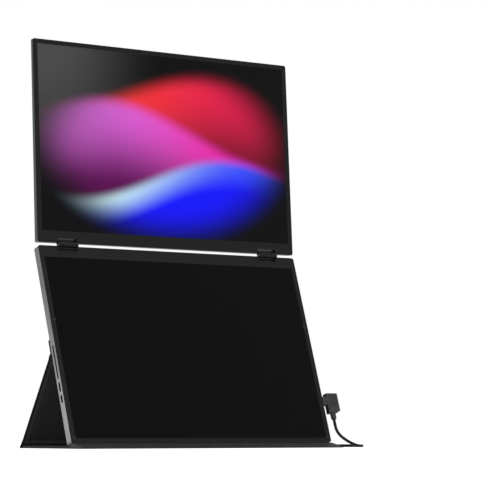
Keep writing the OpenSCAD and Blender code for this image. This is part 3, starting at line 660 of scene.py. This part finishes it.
# %% [markdown]
# ## Anodised aluminium
#
# Both back shells are aluminium, blasted with fine beads and then anodised, mid grey below and a darker
# grey above. The blasting leaves pits of about 0.1 mm, too fine to see here, so they are drawn at 0.4 mm
# and stay shallow: the metal looks even and silky, with broad soft highlights. A metal keeps the default
# IOR. A mask paints deep shade, near black, on the inner walls of the lower shell round its openings.

# %% Shell finishes
def opening_shade_mask(tree, place):
    """1 inside the side walls, round their ports, key slot and speaker holes: painted shade."""
    axes = panel_axes(tree, place, LOWER_FOOT, LOWER_LEAN)
    return within(tree, axes, X=(0.0, 178.1), Y=(5.3, 2.6), Z=(122.0, 92.0))


# The inner walls round the openings take a flat near black: painted deep shade.
mid_grey_anodised = grained(
    "mid_grey_anodised_aluminium", ("#6a6b6a", "#727372"), 22, 0.4, 0.012, (0.36, 0.44), opening_shade_mask,
    Metallic=1.0,
)
dark_grey_anodised = grained(
    "dark_grey_anodised_aluminium", ("#4c4d4e", "#535455"), 22, 0.4, 0.012, (0.36, 0.44), Metallic=1.0
)
paint(mid_grey_anodised, "lower_rear_shell")
paint(dark_grey_anodised, "upper_rear_shell")

# %% [markdown]
# ## Moulded plastics and rubber
#
# The frames round the glass, the keys and the plugs are injection-moulded ABS with a fine spark-eroded
# texture, near black. They scatter light softly and show no mirror image, so the specular level is low. The
# bumpers are soft rubber, duller still.

# %% Plastic and rubber finishes
def groove_shade_mask(tree, place):
    """1 on the floors of the grooves pressed into both faces of the plug, painted dark as shade."""
    axes = panel_axes(tree, place, LOWER_FOOT, LOWER_LEAN)
    return within(tree, axes, X=(194.6, 5.4), Y=(5.0, 3.5), Z=(52.5, 7.6))


frame_plastic = grained(
    "spark_textured_black_abs", ("#0e0e0e", "#151515"), 12, 0.5, 0.02, (0.42, 0.55), specular=0.14
)
key_plastic = grained(
    "satin_black_key_abs", ("#080808", "#0c0c0c"), 6, 0.35, 0.012, (0.4, 0.5), specular=0.02
)
# The floors of the plug's grooves take painted shade, near black.
plug_plastic = grained(
    "matte_charcoal_plug_abs", ("#1f1f20", "#272728"), 8, 0.5, 0.025, (0.5, 0.62), groove_shade_mask,
    specular=0.35,
)
bumper_rubber = grained(
    "soft_black_rubber", ("#0f0f0f", "#171717"), 5, 0.4, 0.02, (0.7, 0.85), specular=0.3
)
paint(frame_plastic, "lower_front_frame", "upper_front_frame")
paint(key_plastic, "key_bezel", "upper_key", "middle_key", "lower_key")
paint(plug_plastic, "plug_body", "plug_relief", "far_relief", "far_plug_body")
paint(bumper_rubber, "closing_bumpers")

# %% [markdown]
# ## Metals of the hinges, screws and sockets
#
# The hinge leaves are stamped steel in a black oxide finish, a little oily and darker than paint, with a
# painted highlight on the bend of each upper leaf. Pins, washers and screws are dark spring steel, the
# plugs' tips and the magnets are nickel-plated, all brushed finely by tumbling. The sockets' cans are
# coloured near black, painted shade for the dark inside of the ports, so they don't shine through the
# openings. The speaker meshes are woven black nylon, with wires WIRE mm apart.

# %% Steel finishes
def bend_highlight_mask(tree, place):
    """1 on the bend of each upper leaf, just where it enters its notch, where a highlight is painted."""
    return within(tree, panel_axes(tree, place, UPPER_FOOT, UPPER_LEAN), Z=(5.3, 0.6))


# The bend of each upper leaf takes a painted highlight, #5a5a5c.
hinge_metal = grained(
    "black_oxide_hinge_steel", ("#1d1d1f", "#28282a"), 5, 0.6, 0.01, (0.3, 0.42), bend_highlight_mask, "#5a5a5c",
    Metallic=1.0,
)
plated_steel = grained("nickel_plated_steel", ("#a9a9a6", "#b6b5b0"), 4, 0.3, 0.006, (0.2, 0.3), Metallic=1.0)
dark_steel = grained("dark_spring_steel", ("#4b4b4d", "#58585a"), 4, 0.4, 0.008, (0.3, 0.4), Metallic=1.0)
# The socket cans are coloured near black: painted shade for the dark inside of the ports.
shaded_socket_steel = grained(
    "socket_steel_painted_shade", ("#19191a", "#232324"), 3, 0.3, 0.006, (0.3, 0.4), Metallic=1.0
)
paint(hinge_metal, "lower_hinge_leaves", "upper_hinge_leaves")
paint(shaded_socket_steel, "left_usb_socket", "mini_hdmi_socket", "right_usb_socket")
paint(dark_steel, "hinge_pins", "hinge_washers", "lower_hinge_screws", "upper_hinge_screws")
paint(dark_steel, "main_board_screws", "key_switches")
paint(plated_steel, "strip_magnets", "plug_tip", "far_plug_tip")

# %% Speaker mesh
WIRE = 0.22
material, tree, place = new_finish("woven_black_mesh")
waves = (0.0, math.pi / (WIRE * MM), math.pi / (WIRE * MM))
phase = add(tree, "VectorMath", {0: place, 1: waves}, operation="MULTIPLY").outputs[0]
wires = add(tree, "VectorMath", {0: phase}, operation="SINE").outputs[0]
parts = add(tree, "SeparateXYZ", {0: wires}).outputs
over = add(tree, "Math", {0: parts["Y"], 1: parts["Z"]}, operation="MULTIPLY").outputs[0]
dark, light = colour("#030303"), colour("#121212")
shade = add(tree, "Mix", {0: over, 6: dark, 7: light}, data_type="RGBA").outputs[2]
relief = add(tree, "Bump", {"Height": over, "Distance": 0.05 * MM}).outputs[0]
sockets = {"Base Color": shade, "Normal": relief, "Roughness": 0.6, "Specular IOR Level": 0.2}
speaker_mesh = close_finish(material, tree, sockets)
paint(speaker_mesh, "speaker_meshes")

# %% [markdown]
# ## The inner parts
#
# They show only through the ports or with a shell off, yet each keeps its own finish: solder-masked circuit
# boards with their copper tracks under the mask, moulded black chips and speaker boxes, an amber polyimide
# ribbon with its conductors, the bluish polariser of the display cells and the white film behind them.

# %% Circuit board and ribbon
CELL, TRACKS = 4.0, 9.0
material, tree, place = new_finish("green_solder_mask")
cells = add(tree, "TexVoronoi", {"Vector": place, "Scale": 1000 / CELL}, distance="MANHATTAN").outputs
tracks = add(tree, "Math", {0: cells["Distance"], 1: TRACKS}, operation="MULTIPLY").outputs[0]
stripes = add(tree, "Math", {0: tracks, 1: 1.0}, operation="PINGPONG").outputs[0]
copper = add(tree, "MapRange", {0: stripes, 1: 0.55, 2: 0.65}).outputs[0]
bare, tracked = colour("#0d3a22"), colour("#1b5a36")
shade = add(tree, "Mix", {0: copper, 6: bare, 7: tracked}, data_type="RGBA").outputs[2]
relief = add(tree, "Bump", {"Height": copper, "Distance": 0.03 * MM}).outputs[0]
sockets = {"Base Color": shade, "Normal": relief, "Roughness": 0.35, "IOR": 1.5}
circuit_board = close_finish(material, tree, sockets)
paint(circuit_board, "main_board", "port_board", "key_board", "upper_driver_board")

CONDUCTOR = 0.5
material, tree, place = new_finish("polyimide_ribbon")
across_x = add(tree, "SeparateXYZ", {0: place}).outputs["X"]
comb = add(tree, "Math", {0: across_x, 1: math.pi / (CONDUCTOR * MM)}, operation="MULTIPLY").outputs[0]
wave = add(tree, "Math", {0: comb}, operation="SINE").outputs[0]
line = add(tree, "MapRange", {0: wave, 1: -0.1, 2: 0.1}).outputs[0]
gap, amber = colour("#7a4a12"), colour("#b87a2c")
shade = add(tree, "Mix", {0: line, 6: gap, 7: amber}, data_type="RGBA").outputs[2]
relief = add(tree, "Bump", {"Height": line, "Distance": 0.02 * MM}).outputs[0]
ribbon = close_finish(material, tree, {"Base Color": shade, "Normal": relief, "Roughness": 0.3, "IOR": 1.6})
paint(ribbon, "port_ribbon")

# %% Other inner finishes
epoxy = grained("moulded_black_epoxy", ("#141414", "#1c1c1c"), 8, 0.4, 0.02, (0.5, 0.65), IOR=1.55)
polariser = grained("display_polariser", ("#15181c", "#191c22"), 60, 0.8, 0.004, (0.18, 0.26), IOR=1.5)
white_film = grained("white_reflector_film", ("#dcdcda", "#e6e6e4"), 40, 0.6, 0.01, (0.45, 0.55), IOR=1.5)
paint(epoxy, "main_board_chips", "left_speaker", "right_speaker")
paint(polariser, "lower_display_cell", "upper_display_cell")
paint(white_film, "lower_backlight", "upper_backlight")

# %% [markdown]
# ## Imitation leather
#
# The stand is covered in black polyurethane leather, embossed with a fine pebble grain. Real grain is about
# 0.5 mm and wouldn't show, so the cells are drawn at 1.1 mm. Broad, faint waves come from the glue and the
# board below. The coating is a little smoother and lighter where it is worn, which an attribute marks:
# along the hem and on bent edges. Below zero that attribute turns an edge near black, as edge paint and as
# painted shade for the dark edge faces; the base's edges get less of it, left lighter for the light from
# the table.

# %% Leather finish
material, tree, place = new_finish("pebble_grained_black_leather")
WARP, WANDER, PEBBLE, WAVE = 1.6, 0.6, 1.1, 38
warp = add(tree, "TexNoise", {"Vector": place, "Scale": 1000 / WARP}).outputs["Color"]
bent = add(tree, "Mix", {0: WANDER * MM, 4: place, 5: warp}, data_type="VECTOR").outputs[1]
cells = add(tree, "TexVoronoi", {"Vector": bent, "Scale": 1000 / PEBBLE}, feature="SMOOTH_F1").outputs
waves = add(tree, "TexNoise", {"Vector": place, "Scale": 1000 / WAVE}).outputs[0]
rubbed = add(tree, "Attribute", attribute_name="rubbed").outputs["Fac"]
fall = {0: cells["Distance"], 1: 0.1, 2: 0.75, 3: 1.0, 4: 0.0}
grain_dip = add(tree, "MapRange", fall, interpolation_type="SMOOTHSTEP").outputs[0]
dip, top = colour("#232323"), colour("#2e2e2f")
base = add(tree, "Mix", {0: grain_dip, 6: dip, 7: top}, data_type="RGBA").outputs[2]
soft = add(tree, "MapRange", {0: waves, 1: 0.35, 2: 0.65, 3: 0.0, 4: 0.35}).outputs[0]
varied = add(tree, "Mix", {0: soft, 6: base, 7: colour("#363636")}, data_type="RGBA").outputs[2]
worn = add(tree, "MapRange", {0: rubbed, 1: 0.0, 2: 1.0, 3: 0.0, 4: 0.6}).outputs[0]
lighter = add(tree, "Mix", {0: worn, 6: varied, 7: colour("#464647")}, data_type="RGBA").outputs[2]
# Below zero an edge turns near black: edge paint, and painted shade for the dark edge faces.
painted = add(tree, "MapRange", {0: rubbed, 1: -1.0, 2: 0.0, 3: 1.0, 4: 0.0}).outputs[0]
shade = add(tree, "Mix", {0: painted, 6: lighter, 7: colour("#030303")}, data_type="RGBA").outputs[2]
gloss = add(tree, "MapRange", {0: rubbed, 1: -1.0, 2: 1.0, 3: 0.84, 4: 0.44}).outputs[0]
broad = add(tree, "Bump", {"Height": waves, "Distance": 0.5 * MM}).outputs[0]
relief = add(tree, "Bump", {"Height": grain_dip, "Distance": 0.07 * MM, "Normal": broad}).outputs[0]
sockets = {"Base Color": shade, "Roughness": gloss, "Normal": relief, "Specular IOR Level": 0.09}
leather = close_finish(material, tree, sockets | {"IOR": 1.48})
paint(leather, "strip_leather", "leg_leather", "base_leather", "lip_leather")
paint(leather, "stand_strip", "top_crease", "leg_outer_skin", "leg_lining", "foot_crease")
paint(leather, "base_sole", "base_lining", "front_lip")

# %% [markdown]
# ## The stiff boards, the lead and its tie
#
# The boards inside the stand are grey-brown millboard. The lead's jacket is matte thermoplastic rubber with
# the faint lengthwise drag marks of its extrusion, drawn on the lead's own map, where u goes round and v
# along. The tie is hook-and-loop tape: a dense mat of tiny loops.

# %% Board, jacket and tape finishes
millboard = grained("grey_millboard", ("#4a4038", "#5a5046"), 6, 0.7, 0.06, (0.8, 0.9), IOR=1.5)
paint(millboard, "leg_board", "base_board")

DRAG_WIDTH, DRAG_LENGTH = 0.35, 14
material, tree, _ = new_finish("extruded_black_jacket")
along = add(tree, "UVMap", uv_map="along_the_lead").outputs[0]
scales = (1000 / DRAG_WIDTH, 1000 / DRAG_LENGTH, 1.0)
drawn = add(tree, "Mapping", {"Vector": along, "Scale": scales}).outputs[0]
drag = add(tree, "TexNoise", {"Vector": drawn, "Scale": 1.0, "Detail": 3.0}).outputs[0]
shade = add(tree, "Mix", {0: drag, 6: colour("#050505"), 7: colour("#0e0e0e")}, data_type="RGBA").outputs[2]
gloss = add(tree, "MapRange", {0: drag, 1: 0.3, 2: 0.7, 3: 0.42, 4: 0.6}).outputs[0]
relief = add(tree, "Bump", {"Height": drag, "Distance": 0.03 * MM}).outputs[0]
sockets = {"Base Color": shade, "Roughness": gloss, "Normal": relief, "Specular IOR Level": 0.16}
jacket = close_finish(material, tree, sockets | {"IOR": 1.5})
paint(jacket, "usb_lead")

material, tree, place = new_finish("hook_and_loop_tape")
LOOP = 0.6
loops = add(tree, "TexVoronoi", {"Vector": place, "Scale": 1000 / LOOP}).outputs
tuft = add(tree, "MapRange", {0: loops["Distance"], 1: 0.0, 2: 0.7, 3: 1.0, 4: 0.0}).outputs[0]
shade = add(tree, "Mix", {0: tuft, 6: colour("#0a0a0a"), 7: colour("#2a2a2b")}, data_type="RGBA").outputs[2]
relief = add(tree, "Bump", {"Height": tuft, "Distance": 0.25 * MM}).outputs[0]
sockets = {"Base Color": shade, "Roughness": 0.85, "Normal": relief}
tape = close_finish(material, tree, sockets | {"Sheen Weight": 0.25, "Sheen Roughness": 0.4})
paint(tape, "coil_wrap")

# %% [markdown]
# ## Cover glass and the picture
#
# Each glass is printed black round its edge and etched to a matte surface there; over the lit area it is
# smooth and has an anti-reflection layer, so it mirrors only about half a percent. The lower screen is off.
# The upper one shows a soft picture: folds of red, pink and blue light that lie over each other like sheets
# of silk and fade to black in the corners, with a painted reflection, a grey sheen, on its upper left corner.
# It is worked out in the panel's own axes, which a Mapping node gives from Object coordinates, and shines by
# itself: an emission strength of 1 shows each colour as it is written.

# %% Glass finish
CHIN, LIT_W, LIT_H = 13.8, 344.6, 215.4
ETCHING, SMUDGE = 0.5, 45


def printed_glass(name, foot, lean, middle_v, picture=None):
    """Matte printed border round a glossy dark window; picture adds the light of a lit screen."""
    material, tree, place = new_finish(name)
    axes = panel_axes(tree, place, foot, lean)
    window = within(tree, axes, X=(0.0, LIT_W / 2), Z=(middle_v, LIT_H / 2))
    etch = add(tree, "TexNoise", {"Vector": place, "Scale": 1000 / ETCHING}).outputs[0]
    first, second, dark = (colour(shade) for shade in ("#1b1b1b", "#222222", "#030303"))
    ink = add(tree, "Mix", {0: etch, 6: first, 7: second}, data_type="RGBA").outputs[2]
    shade = add(tree, "Mix", {0: window, 6: ink, 7: dark}, data_type="RGBA").outputs[2]
    smudge = add(tree, "TexNoise", {"Vector": place, "Scale": 1000 / SMUDGE, "Detail": 4.0}).outputs[0]
    wiped = add(tree, "MapRange", {0: smudge, 1: 0.35, 2: 0.7, 3: 0.05, 4: 0.1}).outputs[0]
    matte = add(tree, "MapRange", {0: etch, 1: 0.3, 2: 0.7, 3: 0.5, 4: 0.6}).outputs[0]
    gloss = add(tree, "Mix", {0: window, 2: matte, 3: wiped}, data_type="FLOAT").outputs[0]
    depth = add(tree, "MapRange", {0: window, 1: 0.0, 2: 1.0, 3: 1.0, 4: 0.0}).outputs[0]
    grit = add(tree, "Math", {0: etch, 1: depth}, operation="MULTIPLY").outputs[0]
    relief = add(tree, "Bump", {"Height": grit, "Distance": 0.01 * MM}).outputs[0]
    sockets = {"Base Color": shade, "Roughness": gloss, "Normal": relief}
    sockets |= {"IOR": 1.5, "Specular IOR Level": 0.06}
    if picture:
        light = picture(tree, axes)
        lit = add(tree, "Mix", {0: window, 6: (0, 0, 0, 1), 7: light}, data_type="RGBA").outputs[2]
        sockets |= {"Emission Color": lit, "Emission Strength": 1.0}
    return close_finish(material, tree, sockets)


# %% The picture on the upper screen
PICTURE_W = 3.2
# The second colour is a painted reflection: the grey sheen on the glass's upper left corner.
NIGHT, PAINTED_SHEEN = "#08080a", "#504f4f"
# Each sheet's m, h, f and p, first, second and deep colours, depth, and half width of its edge.
SHEETS = [
    (0.55, 0.25, 1.35, 0.6, "#f8372b", "#e81e50", "#2a0c14", 1.25, 0.16),
    (0.12, 0.33, 1.3, 2.6, "#dc64dc", "#e81ea0", "#5a0a50", 0.95, 0.13),
    (-0.38, 0.26, 1.6, 0.3, "#c8ecf2", "#3a50fa", "#1414fa", 0.36, 0.1),
]


def folds_of_light(tree, axes):
    """Three soft sheets, each in front of the last, on a picture PICTURE_W wide and 2 high about its middle.

    A sheet ends in a crest at height m + h sin(f x + p). Below the crest its colour runs to a deeper one over
    some depth; along the crest it turns from a first colour to a second. Everything fades to black with the
    distance from the middle, and a pale painted reflection, the sheen of the glass, lies on the upper left
    corner.
    """
    silky = {"interpolation_type": "SMOOTHERSTEP"}
    x = add(tree, "Math", {0: axes["X"], 1: PICTURE_W / (LIT_W * MM)}, operation="MULTIPLY").outputs[0]
    foot, head = CHIN * MM, (CHIN + LIT_H) * MM
    up = add(tree, "MapRange", {0: axes["Z"], 1: foot, 2: head, 3: -1.0, 4: 1.0}).outputs[0]
    along = add(tree, "MapRange", {0: x, 1: -1.2, 2: 1.3}, **silky).outputs[0]
    light = colour(NIGHT)
    for middle, height, rate, phase, *shades, depth, edge in SHEETS:
        first, second, deep = (colour(shade) for shade in shades)
        swing = add(tree, "Math", {0: x, 1: rate, 2: phase}, operation="MULTIPLY_ADD").outputs[0]
        wave = add(tree, "Math", {0: swing}, operation="SINE").outputs[0]
        crest = add(tree, "Math", {0: wave, 1: height, 2: middle}, operation="MULTIPLY_ADD").outputs[0]
        below = add(tree, "Math", {0: crest, 1: up}, operation="SUBTRACT").outputs[0]
        on = add(tree, "MapRange", {0: below, 1: -edge, 2: edge}, **silky).outputs[0]
        depths = {0: below, 1: 0.0, 2: depth}
        sunk = add(tree, "MapRange", depths, interpolation_type="SMOOTHSTEP").outputs[0]
        bright = add(tree, "Mix", {0: along, 6: first, 7: second}, data_type="RGBA").outputs[2]
        shade = add(tree, "Mix", {0: sunk, 6: bright, 7: deep}, data_type="RGBA").outputs[2]
        light = add(tree, "Mix", {0: on, 6: light, 7: shade}, data_type="RGBA").outputs[2]
    flat = add(tree, "CombineXYZ", {0: x, 1: up}).outputs[0]
    oval = add(tree, "VectorMath", {0: flat, 1: (0.62, 0.95, 0.0)}, operation="MULTIPLY").outputs[0]
    far_out = add(tree, "VectorMath", {0: oval}, operation="LENGTH").outputs["Value"]
    shine = add(tree, "MapRange", {0: far_out, 1: 0.58, 2: 1.12, 3: 1.0, 4: 0.0}, **silky).outputs[0]
    picture = add(tree, "Mix", {0: shine, 6: colour(NIGHT), 7: light}, data_type="RGBA").outputs[2]
    # A painted reflection: a grey sheen fades out from the upper left corner.
    corner = (-PICTURE_W / 2, 1.0, 0.0)
    away = add(tree, "VectorMath", {0: flat, 1: corner}, operation="DISTANCE").outputs["Value"]
    painted_sheen = add(tree, "MapRange", {0: away, 1: 0.0, 2: 1.7, 3: 0.85, 4: 0.0}, **silky).outputs[0]
    return add(tree, "Mix", {0: painted_sheen, 6: picture, 7: colour(PAINTED_SHEEN)}, data_type="RGBA").outputs[2]


lit_glass = printed_glass("printed_cover_glass_lit", UPPER_FOOT, UPPER_LEAN, CHIN + LIT_H / 2, folds_of_light)
dark_glass = printed_glass("printed_cover_glass_off", LOWER_FOOT, LOWER_LEAN, PANEL_H - CHIN - LIT_H / 2)
paint(lit_glass, "upper_cover_glass")
paint(dark_glass, "lower_cover_glass")

# %% [markdown]
# ## Floor, light and background
#
# A plain pale table under soft studio light. The background and what shines in metal and glass is the
# world's own white, seen by camera, glossy and transmission rays; for the object's light the world is a
# soft grey, and three large lamps shape it: one from the left, where the ports are, one above and one low
# from the right. Two small ones stand near the table: the heel lamp shines at the stand's foot from the
# front left, and the low lamp lies where the side wall mirrors it to the camera, so the metal brightens
# towards the table.

# %% Floor
FLOOR_HALF, FLOOR_Z, FLOOR_GLOW = 14, -0.2 * MM, 0.72


def seen_rays(tree):
    """1 for camera, glossy and transmission rays, and 0 for the light that falls on the object."""
    rays = add(tree, "LightPath").outputs
    direct = {0: rays["Is Camera Ray"], 1: rays["Is Glossy Ray"]}
    seen = add(tree, "Math", direct, operation="MAXIMUM").outputs[0]
    return add(tree, "Math", {0: seen, 1: rays["Is Transmission Ray"]}, operation="MAXIMUM").outputs[0]


floor_mesh = bpy.data.meshes.new("floor")
corners = [(x * FLOOR_HALF, y * FLOOR_HALF, FLOOR_Z) for x, y in ((-1, -1), (1, -1), (1, 1), (-1, 1))]
floor_mesh.from_pydata(corners, [], [(0, 1, 2, 3)])
floor = linked("floor", floor_mesh)
material, tree, _ = new_finish("pale_table")
glow = add(tree, "Math", {0: seen_rays(tree), 1: FLOOR_GLOW}, operation="MULTIPLY").outputs[0]
table_top = add(tree, "BsdfDiffuse", {"Color": colour("#d8d8d8")}).outputs[0]
white = add(tree, "Emission", {"Color": (1, 1, 1, 1), "Strength": glow}).outputs[0]
both = add(tree, "AddShader", {0: table_top, 1: white}).outputs[0]
add(tree, "OutputMaterial", {"Surface": both})
floor_mesh.materials.append(material)
print("floor", 2 * FLOOR_HALF, "m square")

# %% World and lamps
WORLD_LIGHT = 0.45
world = bpy.data.worlds.new("studio")
bpy.context.scene.world = world
world.use_nodes = True
tree = world.node_tree
tree.nodes.clear()
strength = add(tree, "MapRange", {0: seen_rays(tree), 1: 0.0, 2: 1.0, 3: WORLD_LIGHT, 4: 1.0}).outputs[0]
sky = add(tree, "Background", {"Color": (1, 1, 1, 1), "Strength": strength}).outputs[0]
add(tree, "OutputWorld", {"Surface": sky})


def soft_lamp(name, power, size, place, aim):
    """A square lamp of a size in metres that faces a point."""
    lamp = linked(name, bpy.data.lights.new(name, "AREA"))
    lamp.data.energy, lamp.data.size = power, size
    lamp.location = place
    lamp.rotation_euler = (Vector(aim) - Vector(place)).to_track_quat("-Z", "Y").to_euler()
    print(name, power, "W")


middle = (0.0, 0.0, 0.22)
soft_lamp("left_lamp", 20, 1.2, (-2.0, -0.9, 0.5), middle)
soft_lamp("top_lamp", 16, 1.6, (0.2, -0.4, 2.1), middle)
soft_lamp("right_lamp", 6, 1.0, (1.8, -1.2, 0.5), middle)
soft_lamp("heel_lamp", 0.9, 0.1, (-0.5, -0.24, 0.02), (-0.14, 0.08, 0.0))
soft_lamp("low_lamp", 0.25, 0.14, (-0.48, 0.33, 0.03), (-0.178, -0.02, 0.03))
bpy.context.scene.view_settings.view_transform = "Standard"
